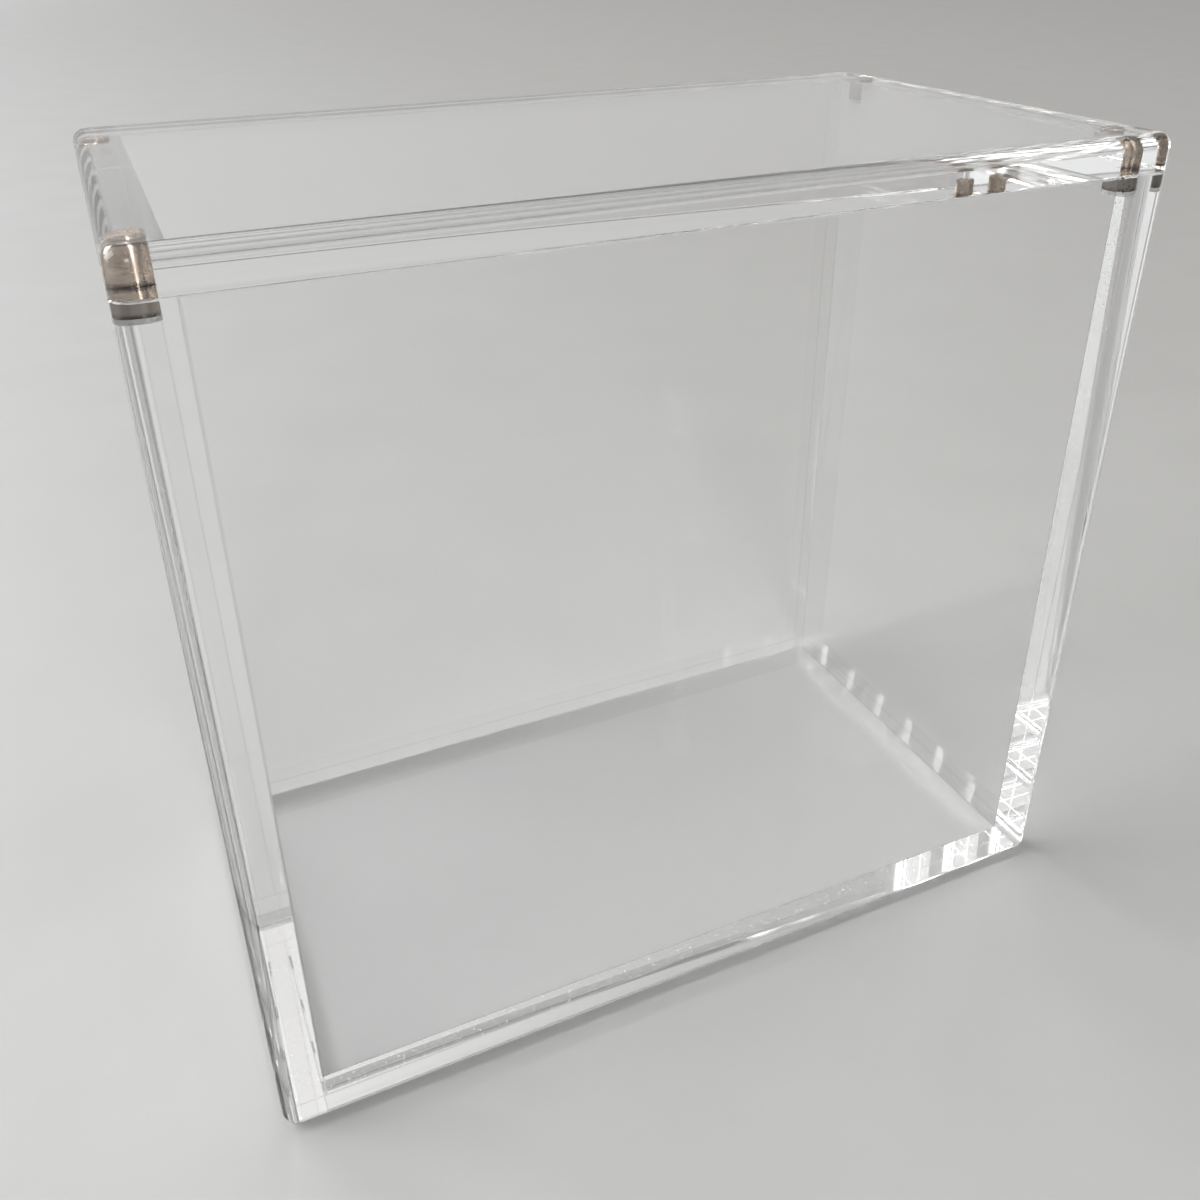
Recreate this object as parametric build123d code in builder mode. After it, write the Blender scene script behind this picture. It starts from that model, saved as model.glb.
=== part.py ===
"""Clear acrylic display case: five cemented panels and a lift-off lid held by four pairs of disc magnets.

Millimetres, +Z up. The origin is the centre of the base's underside, and the front panel faces -Y.
"""
import os

from build123d import *

# Driving dimensions: room inside, and the sheet that each panel is cut from
INSIDE_WIDTH = 195.0
INSIDE_DEPTH = 100.0
INSIDE_HEIGHT = 186.0
WALL = 10.0          # side walls, front panel and back panel
PLATE = 8.0          # base and lid
CORNER_RADIUS = 4.0  # upright outer corners
RIM_RADIUS = 3.0     # rounded upper rim of the lid and lower rim of the base
ARRIS = 0.3          # sharpness taken off the outer rims that meet at the lid joint

# Magnets: nickel-plated discs in blind holes, a pair at each corner
MAGNET_DIAMETER = 5.0
MAGNET_EDGE = 0.25   # rounding of the plated rims
MAGNET_SIDE = 5.0    # from the side wall's outer face to the magnet's axis
MAGNET_INSET = 14.0  # from the front or back face to the magnet's axis
LID_MAGNET_HEIGHT = 4.0
WALL_MAGNET_HEIGHT = 5.0
MAGNET_PROUD = 0.05  # each magnet stands this far out of its hole, so the lid rests on the magnets
HOLE_CLEARANCE = 0.05
LID_GLUE = 0.2       # adhesive at the blind end of each hole
WALL_GLUE = 0.9

# Derived sizes
WIDTH = INSIDE_WIDTH + 2 * WALL
DEPTH = INSIDE_DEPTH + 2 * WALL
CASE_TOP = PLATE + INSIDE_HEIGHT
LID_BOTTOM = CASE_TOP + 2 * MAGNET_PROUD
MAGNET_RADIUS = MAGNET_DIAMETER / 2
HOLE_RADIUS = MAGNET_RADIUS + HOLE_CLEARANCE
LID_HOLE_DEPTH = LID_MAGNET_HEIGHT + LID_GLUE - MAGNET_PROUD
WALL_HOLE_DEPTH = WALL_MAGNET_HEIGHT + WALL_GLUE - MAGNET_PROUD
MAGNET_X = WIDTH / 2 - MAGNET_SIDE
MAGNET_Y = DEPTH / 2 - MAGNET_INSET

SIDES = {"left": -1, "right": 1}
FACES = {"front": -1, "back": 1}

os.makedirs("parts", exist_ok=True)


def save(piece, name):
    """Labels a finished piece and writes it as one STEP file."""
    piece.part.label = name
    export_step(piece.part, f"parts/{name}.step")


# Base: carries the four walls, so its edge shows all round below them
with BuildPart() as base_panel:
    with BuildSketch(Plane.XY):
        RectangleRounded(WIDTH, DEPTH, CORNER_RADIUS)
    extrude(amount=PLATE)
    fillet(base_panel.faces().sort_by(Axis.Z)[0].edges(), RIM_RADIUS)
save(base_panel, "base_panel")


# Side walls: full depth, rounded outer corners, two blind magnet holes in each top edge
def side_wall(side):
    """The wall on one side, standing on the base."""
    outer = side * WIDTH / 2
    with BuildPart() as wall:
        with BuildSketch(Plane.XY.offset(PLATE)):
            with Locations((outer - side * WALL / 2, 0)):
                Rectangle(WALL, DEPTH)
        extrude(amount=INSIDE_HEIGHT)
        uprights = wall.edges().filter_by(Axis.Z).sort_by(Axis.X)
        fillet(uprights[:2] if side < 0 else uprights[-2:], CORNER_RADIUS)
        top_edges = wall.faces().sort_by(Axis.Z)[-1].edges()
        chamfer(top_edges.sort_by(lambda edge: -side * edge.center().X)[:-1], ARRIS)
        with Locations(Plane.XY.offset(CASE_TOP)):
            with Locations((side * MAGNET_X, -MAGNET_Y), (side * MAGNET_X, MAGNET_Y)):
                Hole(HOLE_RADIUS, WALL_HOLE_DEPTH)
    return wall


for side_name, side_sign in SIDES.items():
    save(side_wall(side_sign), f"{side_name}_wall")


# Front and back panels: between the side walls, flush with their ends
def face_panel(face):
    """The panel on the front or the back, standing on the base."""
    outer = face * DEPTH / 2
    with BuildPart() as panel:
        with BuildSketch(Plane.XY.offset(PLATE)):
            with Locations((0, outer - face * WALL / 2)):
                Rectangle(INSIDE_WIDTH, WALL)
        extrude(amount=INSIDE_HEIGHT)
        top_edges = panel.faces().sort_by(Axis.Z)[-1].edges().filter_by(Axis.X)
        chamfer(top_edges.sort_by(lambda edge: face * edge.center().Y)[-1], ARRIS)
    return panel


for face_name, face_sign in FACES.items():
    save(face_panel(face_sign), f"{face_name}_panel")


# Lid: one plate with the case's outline, rounded above, with a blind hole over each wall magnet
with BuildPart() as lid_panel:
    with BuildSketch(Plane.XY.offset(LID_BOTTOM)):
        RectangleRounded(WIDTH, DEPTH, CORNER_RADIUS)
    extrude(amount=PLATE)
    fillet(lid_panel.faces().sort_by(Axis.Z)[-1].edges(), RIM_RADIUS)
    chamfer(lid_panel.faces().sort_by(Axis.Z)[0].edges(), ARRIS)
    with BuildSketch(Plane.XY.offset(LID_BOTTOM)):
        with GridLocations(2 * MAGNET_X, 2 * MAGNET_Y, 2, 2):
            Circle(HOLE_RADIUS)
    extrude(amount=LID_HOLE_DEPTH, mode=Mode.SUBTRACT)
save(lid_panel, "lid_panel")


# Magnets and the adhesive at the blind end of each hole
def disc(place, low, high, radius, edge=0.0):
    """A disc on the upright axis at a place on plan, from one height to another, with rounded rims if edge is given."""
    with BuildPart() as piece:
        with BuildSketch(Plane.XY.offset(low)):
            with Locations(place):
                Circle(radius)
        extrude(amount=high - low)
        if edge:
            fillet(piece.edges().filter_by(GeomType.CIRCLE), edge)
    return piece


wall_magnet_top = CASE_TOP + MAGNET_PROUD
wall_magnet_low = wall_magnet_top - WALL_MAGNET_HEIGHT
lid_magnet_low = LID_BOTTOM - MAGNET_PROUD
lid_magnet_top = lid_magnet_low + LID_MAGNET_HEIGHT

for face_name, face_sign in FACES.items():
    for side_name, side_sign in SIDES.items():
        corner = f"{face_name}_{side_name}"
        axis = (side_sign * MAGNET_X, face_sign * MAGNET_Y)
        wall_magnet = disc(axis, wall_magnet_low, wall_magnet_top, MAGNET_RADIUS, MAGNET_EDGE)
        wall_adhesive = disc(axis, wall_magnet_low - WALL_GLUE, wall_magnet_low, HOLE_RADIUS)
        lid_magnet = disc(axis, lid_magnet_low, lid_magnet_top, MAGNET_RADIUS, MAGNET_EDGE)
        lid_adhesive = disc(axis, lid_magnet_top, lid_magnet_top + LID_GLUE, HOLE_RADIUS)
        save(wall_magnet, f"wall_magnet_{corner}")
        save(wall_adhesive, f"wall_adhesive_{corner}")
        save(lid_magnet, f"lid_magnet_{corner}")
        save(lid_adhesive, f"lid_adhesive_{corner}")

print(f"overall {WIDTH} x {DEPTH} x {LID_BOTTOM + PLATE:.2f} mm")
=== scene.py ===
"""Acrylic display case with a magnetic lid: looks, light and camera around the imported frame."""
import math

import bpy
from mathutils import Matrix, Vector


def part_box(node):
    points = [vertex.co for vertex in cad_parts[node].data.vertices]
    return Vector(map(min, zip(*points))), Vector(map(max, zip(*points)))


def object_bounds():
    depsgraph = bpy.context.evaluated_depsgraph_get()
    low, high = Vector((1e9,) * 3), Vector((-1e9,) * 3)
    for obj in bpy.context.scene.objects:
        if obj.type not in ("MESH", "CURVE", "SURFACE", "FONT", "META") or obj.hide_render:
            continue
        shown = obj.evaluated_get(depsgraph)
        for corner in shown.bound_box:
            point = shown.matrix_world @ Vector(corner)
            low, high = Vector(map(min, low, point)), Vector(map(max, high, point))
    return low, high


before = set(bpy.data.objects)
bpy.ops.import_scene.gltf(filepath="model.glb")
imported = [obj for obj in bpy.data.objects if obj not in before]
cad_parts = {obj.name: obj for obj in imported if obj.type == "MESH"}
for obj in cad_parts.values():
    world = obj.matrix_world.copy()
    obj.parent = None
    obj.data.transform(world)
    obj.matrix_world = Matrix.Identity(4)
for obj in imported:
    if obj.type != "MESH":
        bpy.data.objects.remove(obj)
cad_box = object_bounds()

MM = 0.001

PANELS = ("base_panel", "left_wall", "right_wall", "front_panel", "back_panel")   # cemented together
CORNERS = [f"{face}_{side}" for face in ("front", "back") for side in ("left", "right")]

# Below, a pair of numbers is the two ends of a ramp: what it runs between, or the values it gives there.

# Acrylic
ACRYLIC_IOR = 1.491
CLEAR = 0.998                             # what each pass through a surface lets by
EDGE_TINT_AND_SHADE = {"case": 0.84, "lid": 0.94}   # the same at the worked outer edges: partly a real grey tint, partly painted shade, darker on the case, whose lower edges sit on the floor
EDGE_BAND = 3.2 * MM                      # width of the worked outer edges
FULL_BAND = 0.8 * EDGE_BAND               # the part of it that is worked all over
EDGE_ROUGHNESS = 0.13
PATCH_ROUGHNESS = 0.08                    # more, in patches on the edges of the right side
PATCH_SIZE = 5 * MM
PATCH_LEVELS = (0.46, 0.58)
WAVE_DEPTH = 0.02 * MM
SHEET_WAVES = 45 * MM                     # size of the slow waves in the sheet
EDGE_WAVES = 3.5 * MM                     # size of the quick ones on the worked edges
EDGE_WAVINESS = 0.1                       # their height beside that of the slow ones
RIGHT_WAVINESS = 0.05                     # more, on the edges of the right side

# Cemented seams
SEAM = 0.01 * MM                          # how far a point may lie off a seam and still count as in it
SQUEEZE = 0.25 * MM                       # how far cement has spread past a seam
CEMENT_COLOUR = (0.92, 0.92, 0.92, 1)
CEMENT_ROUGHNESS = 0.2
BUBBLE_SIZE = 0.7 * MM
BUBBLE_LEVELS = (0.64, 0.68)
BUBBLE_HEIGHTS = (150 * MM, 190 * MM)     # bubbles are faint below the first and full above the second
FAINT_BUBBLES = 0.15
POCKET_MARGIN = 0.1 * MM                  # takes in the clearance between a magnet and its hole

# Painted glints along the lid's right edge, white patches that stand in for light caught by the edge: a row
# on its upper rim, and a row at the joint under it
GLINT_COLOUR = (0.95, 0.94, 0.90, 1)
GLINT_ROUGHNESS = 0.5
GLINT_SIZE = 3.2 * MM
GLINT_SCALE = (1, 0.35, 1)                # draws the painted glints out along the edge
GLINT_LEVELS = (0.54, 0.60)
GLINT_COVER = 0.9
RIM_ROW_INSET = 2.2 * MM                  # from the lid's right side to the middle of the row
RIM_ROW_HALF_WIDTH = (0.8 * MM, 0.6 * MM)
RIM_ROW_DEPTH = (0.6 * MM, 0.5 * MM)      # below the lid's top
JOINT_ROW_INSET = (1.2 * MM, 1.0 * MM)    # from the lid's right side to the inner end of the row
JOINT_ROW_HALF_HEIGHT = (0.6 * MM, 0.5 * MM)

# Nickel magnets
# painted light and shade: the same nickel, given lighter on the lid's magnets and darker on the walls'
NICKEL_LIT_AND_SHADED = {"lid": (0.78, 0.65, 0.54), "wall": (0.42, 0.37, 0.33)}
SIDE_SHADE = {"left": 1.0, "right": 0.5}       # painted shade: the magnets on the right, away from the light on the left, are darker
NICKEL_ROUGHNESS = {"lid": (0.20, 0.32), "wall": (0.3, 0.45)}
DULLNESS_SIZE = 1.2 * MM
DULLNESS_LEVELS = (0.3, 0.7)
PIT_SIZE = 0.6 * MM
PIT_DEPTH = 0.004 * MM
# painted shade at the magnets' ends, where they meet and at the bottom of the walls' pockets
END_SHADE_COLOUR = (0.07, 0.045, 0.035, 1)
BOTTOM_SHADE = (1.1 * MM, 0.11 * MM)      # painted shade, above the magnet's lower end
TOP_SHADE = (0.66 * MM, 0.055 * MM)       # painted shade, below the upper end where the magnets meet, on the walls' magnets only
STREAK_SIZE = 0.9 * MM
STREAK_LEVELS = (0.40, 0.62)
EVEN_SHADE, STREAKY_SHADE = 0.35, 0.6     # the two parts of the painted shade at the lower end
TOP_SHADE_STRENGTH = 0.8

# Adhesive
CLOUDINESS = {"lid": (0.0, 0.12), "wall": (0.55, 0.85)}
CLOUD_COLOUR = (0.72, 0.71, 0.70, 1)
CLOUD_ROUGHNESS = 0.35
CLOUD_SIZE = 0.8 * MM
CLOUD_LEVELS = (0.35, 0.65)

# Floor
FLOOR_SIZE = 20                           # metres
FLOOR_DROP = 0.1 * MM                     # below the case's underside
# painted light: the floor is lighter on the left, towards the window, and darker on the right
FLOOR_LEFT, FLOOR_RIGHT = (0.484, 0.495, 0.491), (0.443, 0.439, 0.429)
FLOOR_ACROSS = (-0.5, 0.6)                # metres, from where it is all the left colour to all the right
FLOOR_ROUGHNESS = 0.52
MOTTLE_SIZE = 60 * MM
MOTTLE_LEVELS = (0.3, 0.7)
MOTTLE = (0.985, 1.015)

# The room around the case, as brightness by direction: a span is of one part of a unit vector
ROOM_COLOUR = (1.0, 0.995, 0.985, 1)
ROOM_FRONT_TO_BACK, FRONT_TO_BACK_SPAN = (0.25, 0.66), (-0.2, 0.8)
ROOM_LEFT_TO_RIGHT, LEFT_TO_RIGHT_SPAN = (1.1, 0.85), (-0.9, 0.9)
CEILING_LEFT_TO_RIGHT, CEILING_SPAN = (1.1, 0.5), (-0.3, 0.5)
WALLS_TO_CEILING_SPAN = (0.4, 0.95)

# The camera stands in front of the left wall and looks down to the right
CAMERA_PLACE = (-107.6 * MM, -239.5 * MM, 245.4 * MM)
CAMERA_YAW, CAMERA_PITCH, CAMERA_ROLL = 23.83, 27.55, 0.62   # degrees
CAMERA_LENS, CAMERA_SENSOR = 34.34, 36    # millimetres, as Blender takes them
CAMERA_SHIFT = -0.0786
CAMERA_NEAR = 10 * MM

# Enough for light to find its way through all the clear walls and edges
BOUNCES = 40
GLOSSY_BOUNCES = 24


# ---------------------------------------------------------------- node helpers
def new_material(name):
    """An empty material: its node tree and its output node."""
    material = bpy.data.materials.new(name)
    material.use_nodes = True
    tree = material.node_tree
    tree.nodes.clear()
    return material, tree, tree.nodes.new("ShaderNodeOutputMaterial")


def feed(tree, socket, value):
    """Sets a socket to a number or a colour, or links it to another socket."""
    if isinstance(value, bpy.types.NodeSocket):
        tree.links.new(value, socket)
    else:
        socket.default_value = value


def maths(tree, operation, *values, clamp=False):
    """A Math node's output."""
    node = tree.nodes.new("ShaderNodeMath")
    node.operation = operation
    node.use_clamp = clamp
    for socket, value in zip(node.inputs, values):
        feed(tree, socket, value)
    return node.outputs[0]


def largest(tree, sockets):
    """The largest of one or more sockets."""
    result = None
    for socket in sockets:
        result = socket if result is None else maths(tree, "MAXIMUM", result, socket)
    return result


def ramp(tree, value, start, end, low=0.0, high=1.0):
    """A smooth step of value, from low at start to high at end."""
    node = tree.nodes.new("ShaderNodeMapRange")
    node.interpolation_type = "SMOOTHSTEP"
    for name, number in (("Value", value), ("From Min", start), ("From Max", end),
                         ("To Min", low), ("To Max", high)):
        feed(tree, node.inputs[name], number)
    return node.outputs["Result"]


def own_place(tree):
    """The object's own coordinates, in metres, as a vector and as its three parts."""
    coordinates = tree.nodes.new("ShaderNodeTexCoord")
    split = tree.nodes.new("ShaderNodeSeparateXYZ")
    tree.links.new(coordinates.outputs["Object"], split.inputs[0])
    return coordinates.outputs["Object"], split.outputs


def noise(tree, vector, size, detail=1.0):
    """Noise whose lumps measure about size metres."""
    node = tree.nodes.new("ShaderNodeTexNoise")
    tree.links.new(vector, node.inputs["Vector"])
    node.inputs["Scale"].default_value = 1 / size
    node.inputs["Detail"].default_value = detail
    return node.outputs["Fac"]


def bump(tree, height, depth):
    """A normal tilted by height, where a height of 1 stands for depth metres."""
    node = tree.nodes.new("ShaderNodeBump")
    node.inputs["Strength"].default_value = 1.0
    node.inputs["Distance"].default_value = depth
    tree.links.new(height, node.inputs["Height"])
    return node.outputs["Normal"]


def combine_colour(tree, channels):
    """A colour put together from three numbers or sockets."""
    node = tree.nodes.new("ShaderNodeCombineColor")
    for socket, channel in zip(node.inputs, channels):
        feed(tree, socket, channel)
    return node.outputs[0]


def blend_shaders(tree, factor, first, second):
    """The first shader where factor is 0, and the second where it is 1."""
    node = tree.nodes.new("ShaderNodeMixShader")
    for socket, value in zip(node.inputs, (factor, first, second)):
        feed(tree, socket, value)
    return node.outputs[0]


def glass_node(tree, colour, roughness):
    """A glass shader's node, with the index of acrylic."""
    node = tree.nodes.new("ShaderNodeBsdfGlass")
    feed(tree, node.inputs["Color"], colour)
    feed(tree, node.inputs["Roughness"], roughness)
    node.inputs["IOR"].default_value = ACRYLIC_IOR
    return node


def opaque(tree, colour, roughness):
    """A plain opaque shader."""
    node = tree.nodes.new("ShaderNodeBsdfPrincipled")
    feed(tree, node.inputs["Base Color"], colour)
    feed(tree, node.inputs["Roughness"], roughness)
    return node.outputs[0]


def transparent(tree):
    """A shader that light passes as if nothing were there."""
    return tree.nodes.new("ShaderNodeBsdfTransparent").outputs[0]


# ---------------------------------------------------------------- seams, pockets and worked edges
def meeting(first, second):
    """The box that two nodes' boxes share, or None if they don't touch."""
    (first_low, first_high), (second_low, second_high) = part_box(first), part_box(second)
    low = [max(pair) for pair in zip(first_low, second_low)]
    high = [min(pair) for pair in zip(first_high, second_high)]
    touching = all(end > start - SEAM for start, end in zip(low, high))
    return (low, high) if touching else None


def seams_of(node):
    """The boxes where a panel is cemented to its neighbours, and none for the lid."""
    if node not in PANELS:
        return []
    shared = [meeting(node, other) for other in PANELS if other != node]
    return [seam for seam in shared if seam]


def pockets_of(node):
    """A box round each magnet that sits in a panel, with its adhesive."""
    pockets = []
    fitted = "lid" if node == "lid_panel" else "wall"
    for corner in CORNERS:
        if not meeting(node, f"{fitted}_magnet_{corner}"):
            continue
        magnet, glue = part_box(f"{fitted}_magnet_{corner}"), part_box(f"{fitted}_adhesive_{corner}")
        low = [min(pair) for pair in zip(magnet[0], glue[0])]
        high = [max(pair) for pair in zip(magnet[1], glue[1])]
        for axis in (0, 1):
            low[axis] -= POCKET_MARGIN
            high[axis] += POCKET_MARGIN
        pockets.append((low, high))
    return pockets


def inside(tree, place, low, high, margin=SEAM):
    """A socket that is 1 within a box given in the object's own coordinates, and 0 elsewhere."""
    result = None
    for part, start, end in zip(place, low, high):
        reach = max((end - start) / 2 + margin, SEAM)
        near = maths(tree, "COMPARE", part, (start + end) / 2, reach)
        result = near if result is None else maths(tree, "MULTIPLY", result, near)
    return result


def seam_rim(tree, place, low, high):
    """A socket that is 1 along the rim of a cemented seam, where a little cement has squeezed out."""
    return maths(tree, "SUBTRACT", inside(tree, place, low, high, SQUEEZE),
                 inside(tree, place, low, high), clamp=True)


def sound_cement(tree, vector, place):
    """A socket that is 1 in sound cement and lower in the bubbles, which are mostly near the top."""
    lumps = ramp(tree, noise(tree, vector, BUBBLE_SIZE), *BUBBLE_LEVELS)
    upper = ramp(tree, place[2], *BUBBLE_HEIGHTS, FAINT_BUBBLES, 1.0)
    return maths(tree, "SUBTRACT", 1.0, maths(tree, "MULTIPLY", lumps, upper))


def outer_edge(tree, place, node):
    """Two sockets: 1 on the routed and polished outer edges, and 1 on those of the right side alone."""
    high = cad_box[1]
    sides = [ramp(tree, maths(tree, "ABSOLUTE", part), end - EDGE_BAND, end - FULL_BAND)
             for part, end in zip(place, high[:2])]
    if node == "lid_panel":
        rim = ramp(tree, place[2], high[2] - EDGE_BAND, high[2] - FULL_BAND)
    else:
        rim = ramp(tree, place[2], EDGE_BAND, FULL_BAND)
    corner = maths(tree, "MULTIPLY", *sides)
    edge = largest(tree, [corner, maths(tree, "MULTIPLY", largest(tree, sides), rim)])
    right = ramp(tree, place[0], high[0] - 2 * EDGE_BAND, high[0] - EDGE_BAND)
    return edge, maths(tree, "MULTIPLY", edge, right)


def painted_glints(tree, vector, place):
    """A socket that is near 1 in the short painted glints along the lid's right edge: white dashes that
    stand in for light caught by the edge.
    """
    low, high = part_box("lid_panel")
    off_row = maths(tree, "ABSOLUTE", maths(tree, "SUBTRACT", place[0], high[0] - RIM_ROW_INSET))
    rim_row = maths(tree, "MULTIPLY", ramp(tree, off_row, *RIM_ROW_HALF_WIDTH),
                    ramp(tree, place[2], *(high[2] - depth for depth in RIM_ROW_DEPTH)))
    off_joint = maths(tree, "ABSOLUTE", maths(tree, "SUBTRACT", place[2], low[2]))
    joint_row = maths(tree, "MULTIPLY", ramp(tree, off_joint, *JOINT_ROW_HALF_HEIGHT),
                      ramp(tree, place[0], *(high[0] - inset for inset in JOINT_ROW_INSET)))
    along = tree.nodes.new("ShaderNodeMapping")
    tree.links.new(vector, along.inputs["Vector"])
    along.inputs["Scale"].default_value = GLINT_SCALE
    dashes = ramp(tree, noise(tree, along.outputs[0], GLINT_SIZE), *GLINT_LEVELS, 0.0, GLINT_COVER)
    return maths(tree, "MULTIPLY", largest(tree, [rim_row, joint_row]), dashes)


# ---------------------------------------------------------------- materials
def sheet(tree, vector, place, node):
    """Acrylic: clear and all but flat on a panel's faces, and tinted, dull and wavy on its outer edges,
    where the tint is partly painted shade.
    """
    edge, right_edge = outer_edge(tree, place, node)
    edge_tint_and_shade = ramp(tree, edge, 0, 1, CLEAR, EDGE_TINT_AND_SHADE["lid" if node == "lid_panel" else "case"])
    patches = ramp(tree, noise(tree, vector, PATCH_SIZE), *PATCH_LEVELS, 0.0, PATCH_ROUGHNESS)
    dullness = maths(tree, "ADD", maths(tree, "MULTIPLY", edge, EDGE_ROUGHNESS),
                     maths(tree, "MULTIPLY", right_edge, patches))
    waviness = maths(tree, "ADD", maths(tree, "MULTIPLY", edge, EDGE_WAVINESS),
                     maths(tree, "MULTIPLY", right_edge, RIGHT_WAVINESS))
    edge_waves = maths(tree, "MULTIPLY", waviness, noise(tree, vector, EDGE_WAVES))
    height = maths(tree, "ADD", edge_waves, noise(tree, vector, SHEET_WAVES, 0))
    shader = glass_node(tree, combine_colour(tree, [edge_tint_and_shade] * 3), dullness)
    tree.links.new(bump(tree, height, WAVE_DEPTH), shader.inputs["Normal"])
    return shader.outputs[0]


def acrylic(node):
    """Clear cast acrylic for one panel, optically joined where it is cemented to its neighbours."""
    material, tree, output = new_material(f"acrylic_{node}")
    vector, place = own_place(tree)
    surface = sheet(tree, vector, place, node)
    joined = [inside(tree, place, *pocket) for pocket in pockets_of(node)]
    seams = seams_of(node)
    if seams:
        squeezed = largest(tree, [seam_rim(tree, place, *seam) for seam in seams])
        cement = glass_node(tree, CEMENT_COLOUR, CEMENT_ROUGHNESS)
        surface = blend_shaders(tree, squeezed, surface, cement.outputs[0])
        sound = sound_cement(tree, vector, place)
        joined += [maths(tree, "MULTIPLY", inside(tree, place, *seam), sound) for seam in seams]
    if node in ("lid_panel", "right_wall"):
        # painted glints: opaque white dashes on the lid's right edge and on the wall under it
        glint_patch = opaque(tree, GLINT_COLOUR, GLINT_ROUGHNESS)
        surface = blend_shaders(tree, painted_glints(tree, vector, place), surface, glint_patch)
    surface = blend_shaders(tree, largest(tree, joined), surface, transparent(tree))
    tree.links.new(surface, output.inputs["Surface"])
    return material


def nickel(where, side):
    """Nickel plate: soft gloss, with painted shade at the lower end, and on the walls' magnets at both
    ends: where the magnets meet, and at the bottom of the walls' pockets. Its colour is painted lighter on
    the lid's magnets and darker on the walls' and on the right.
    """
    material, tree, output = new_material(f"nickel_{where}_{side}")
    vector, place = own_place(tree)
    low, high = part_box(f"{where}_magnet_{CORNERS[0]}")
    streaks = ramp(tree, noise(tree, vector, STREAK_SIZE, 2), *STREAK_LEVELS)
    strength = maths(tree, "ADD", EVEN_SHADE, maths(tree, "MULTIPLY", streaks, STREAKY_SHADE))
    bottom = ramp(tree, place[2], *(low[2] + height for height in BOTTOM_SHADE))
    end_shade = maths(tree, "MULTIPLY", bottom, strength)
    if where == "wall":
        top = ramp(tree, place[2], *(high[2] - depth for depth in TOP_SHADE))
        end_shade = largest(tree, [end_shade, maths(tree, "MULTIPLY", top, TOP_SHADE_STRENGTH)])
    # the plate colour carries painted light and shade: lighter on the lid, darker on the walls and on the
    # right
    painted_light_plate_colour = [SIDE_SHADE[side] * channel for channel in NICKEL_LIT_AND_SHADED[where]] + [1]
    colour = tree.nodes.new("ShaderNodeMixRGB")
    for socket, value in zip(colour.inputs, (end_shade, painted_light_plate_colour, END_SHADE_COLOUR)):
        feed(tree, socket, value)
    dullness = noise(tree, vector, DULLNESS_SIZE, 3)
    roughness = ramp(tree, dullness, *DULLNESS_LEVELS, *NICKEL_ROUGHNESS[where])
    pits = bump(tree, noise(tree, vector, PIT_SIZE, 2), PIT_DEPTH)
    shader = tree.nodes.new("ShaderNodeBsdfPrincipled")
    shader.inputs["Metallic"].default_value = 1.0
    tree.links.new(colour.outputs[0], shader.inputs["Base Color"])
    tree.links.new(roughness, shader.inputs["Roughness"])
    tree.links.new(pits, shader.inputs["Normal"])
    tree.links.new(shader.outputs[0], output.inputs["Surface"])
    return material


def adhesive(where):
    """Cured adhesive: a clear film over the lid's magnets, a cloudy bed under the walls' magnets."""
    material, tree, output = new_material(f"adhesive_{where}")
    vector = own_place(tree)[0]
    haze = ramp(tree, noise(tree, vector, CLOUD_SIZE, 2), *CLOUD_LEVELS, *CLOUDINESS[where])
    cloud = opaque(tree, CLOUD_COLOUR, CLOUD_ROUGHNESS)
    tree.links.new(blend_shaders(tree, haze, transparent(tree), cloud), output.inputs["Surface"])
    return material


def dress(node, material):
    """Gives a CAD node its material."""
    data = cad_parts[node].data
    data.materials.clear()
    data.materials.append(material)


def dress_case():
    """Gives every CAD node its material."""
    for panel in PANELS + ("lid_panel",):
        dress(panel, acrylic(panel))
    for where in ("wall", "lid"):
        plates = {side: nickel(where, side) for side in SIDE_SHADE}
        glue = adhesive(where)
        for corner in CORNERS:
            dress(f"{where}_magnet_{corner}", plates[corner.split("_")[1]])
            dress(f"{where}_adhesive_{corner}", glue)


# ---------------------------------------------------------------- floor, light and camera
def stage():
    """A pale floor under the case, lighter and a little cooler on the left, darker and warmer on the right:
    the lighter left is painted light.
    """
    bpy.ops.mesh.primitive_plane_add(size=FLOOR_SIZE, location=(0, 0, -FLOOR_DROP))
    floor = bpy.context.object
    floor.name = "studio_floor"
    material, tree, output = new_material("studio_floor")
    vector, place = own_place(tree)
    across = ramp(tree, place[0], *FLOOR_ACROSS)
    mottle = ramp(tree, noise(tree, vector, MOTTLE_SIZE, 3), *MOTTLE_LEVELS, *MOTTLE)
    channels = []
    for left, right in zip(FLOOR_LEFT, FLOOR_RIGHT):
        level = maths(tree, "ADD", left, maths(tree, "MULTIPLY", across, right - left))
        channels.append(maths(tree, "MULTIPLY", level, mottle))
    surface = opaque(tree, combine_colour(tree, channels), FLOOR_ROUGHNESS)
    tree.links.new(surface, output.inputs["Surface"])
    floor.data.materials.append(material)


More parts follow.
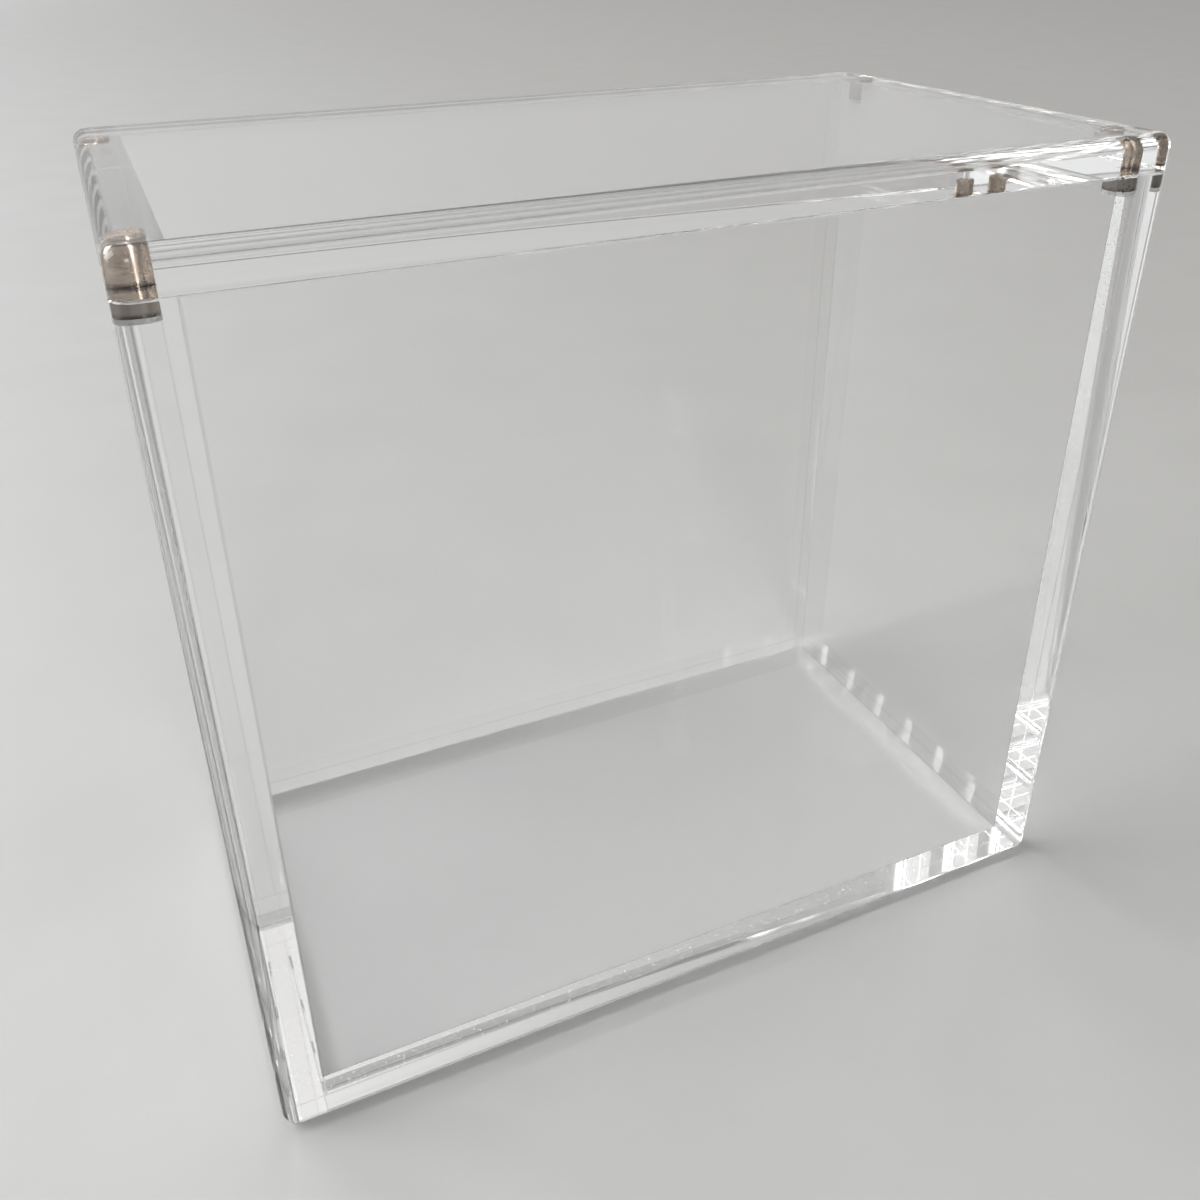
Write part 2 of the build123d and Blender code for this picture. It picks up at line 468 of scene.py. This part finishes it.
def studio_world():
    """A pale room: lighter at the back and on the left, darker behind the camera and on the right."""
    world = bpy.data.worlds.new("studio")
    bpy.context.scene.world = world
    world.use_nodes = True
    tree = world.node_tree
    coordinates = tree.nodes.new("ShaderNodeTexCoord")
    split = tree.nodes.new("ShaderNodeSeparateXYZ")
    tree.links.new(coordinates.outputs["Generated"], split.inputs[0])
    x, y, z = split.outputs
    walls = maths(tree, "MULTIPLY", ramp(tree, y, *FRONT_TO_BACK_SPAN, *ROOM_FRONT_TO_BACK),
                  ramp(tree, x, *LEFT_TO_RIGHT_SPAN, *ROOM_LEFT_TO_RIGHT))
    ceiling = ramp(tree, x, *CEILING_SPAN, *CEILING_LEFT_TO_RIGHT)
    up = ramp(tree, z, *WALLS_TO_CEILING_SPAN)
    level = maths(tree, "ADD", maths(tree, "MULTIPLY", walls, maths(tree, "SUBTRACT", 1.0, up)),
                  maths(tree, "MULTIPLY", up, ceiling))
    background = tree.nodes["Background"]
    background.inputs[0].default_value = ROOM_COLOUR
    tree.links.new(level, background.inputs[1])


def area_light(name, place, towards, size, power):
    """A rectangular lamp at a place, facing another: its width and height in metres, its power in watts."""
    data = bpy.data.lights.new(name, "AREA")
    data.shape = "RECTANGLE"
    data.size, data.size_y = size
    data.energy = power
    light = bpy.data.objects.new(name, data)
    light.location = place
    light.rotation_euler = (Vector(towards) - Vector(place)).to_track_quat("-Z", "Y").to_euler()
    bpy.context.collection.objects.link(light)


def place_camera():
    """The scene's camera."""
    data = bpy.data.cameras.new("camera")
    data.sensor_width = CAMERA_SENSOR
    data.lens = CAMERA_LENS
    data.shift_y = CAMERA_SHIFT
    data.clip_start = CAMERA_NEAR
    camera = bpy.data.objects.new("camera", data)
    bpy.context.collection.objects.link(camera)
    camera.location = CAMERA_PLACE
    camera.rotation_euler = (Matrix.Rotation(math.radians(-CAMERA_YAW), 3, "Z")
                             @ Matrix.Rotation(math.radians(90 - CAMERA_PITCH), 3, "X")
                             @ Matrix.Rotation(math.radians(-CAMERA_ROLL), 3, "Z")).to_euler()
    bpy.context.scene.camera = camera


def set_rendering():
    """Plain colours, and enough bounces for the clear walls."""
    scene = bpy.context.scene
    scene.view_settings.view_transform = "Standard"
    scene.cycles.max_bounces = BOUNCES
    scene.cycles.transmission_bounces = BOUNCES
    scene.cycles.transparent_max_bounces = BOUNCES
    scene.cycles.glossy_bounces = GLOSSY_BOUNCES
    scene.cycles.blur_glossy = 0   # any blur here darkens what is seen through the acrylic


dress_case()
stage()
studio_world()
area_light("window", (-2.2, 0.75, 1.6), towards=(0, 0, 0.05), size=(1.7, 1.7), power=48)
area_light("lamp", (-0.36, -1.25, 0.9), towards=(0, 0, 0.05), size=(0.34, 0.5), power=5.5)
area_light("far_window", (-3.2, 6.0, 2.8), towards=(-0.3, 0.8, 0.0), size=(3.0, 2.0), power=180)
place_camera()
set_rendering()
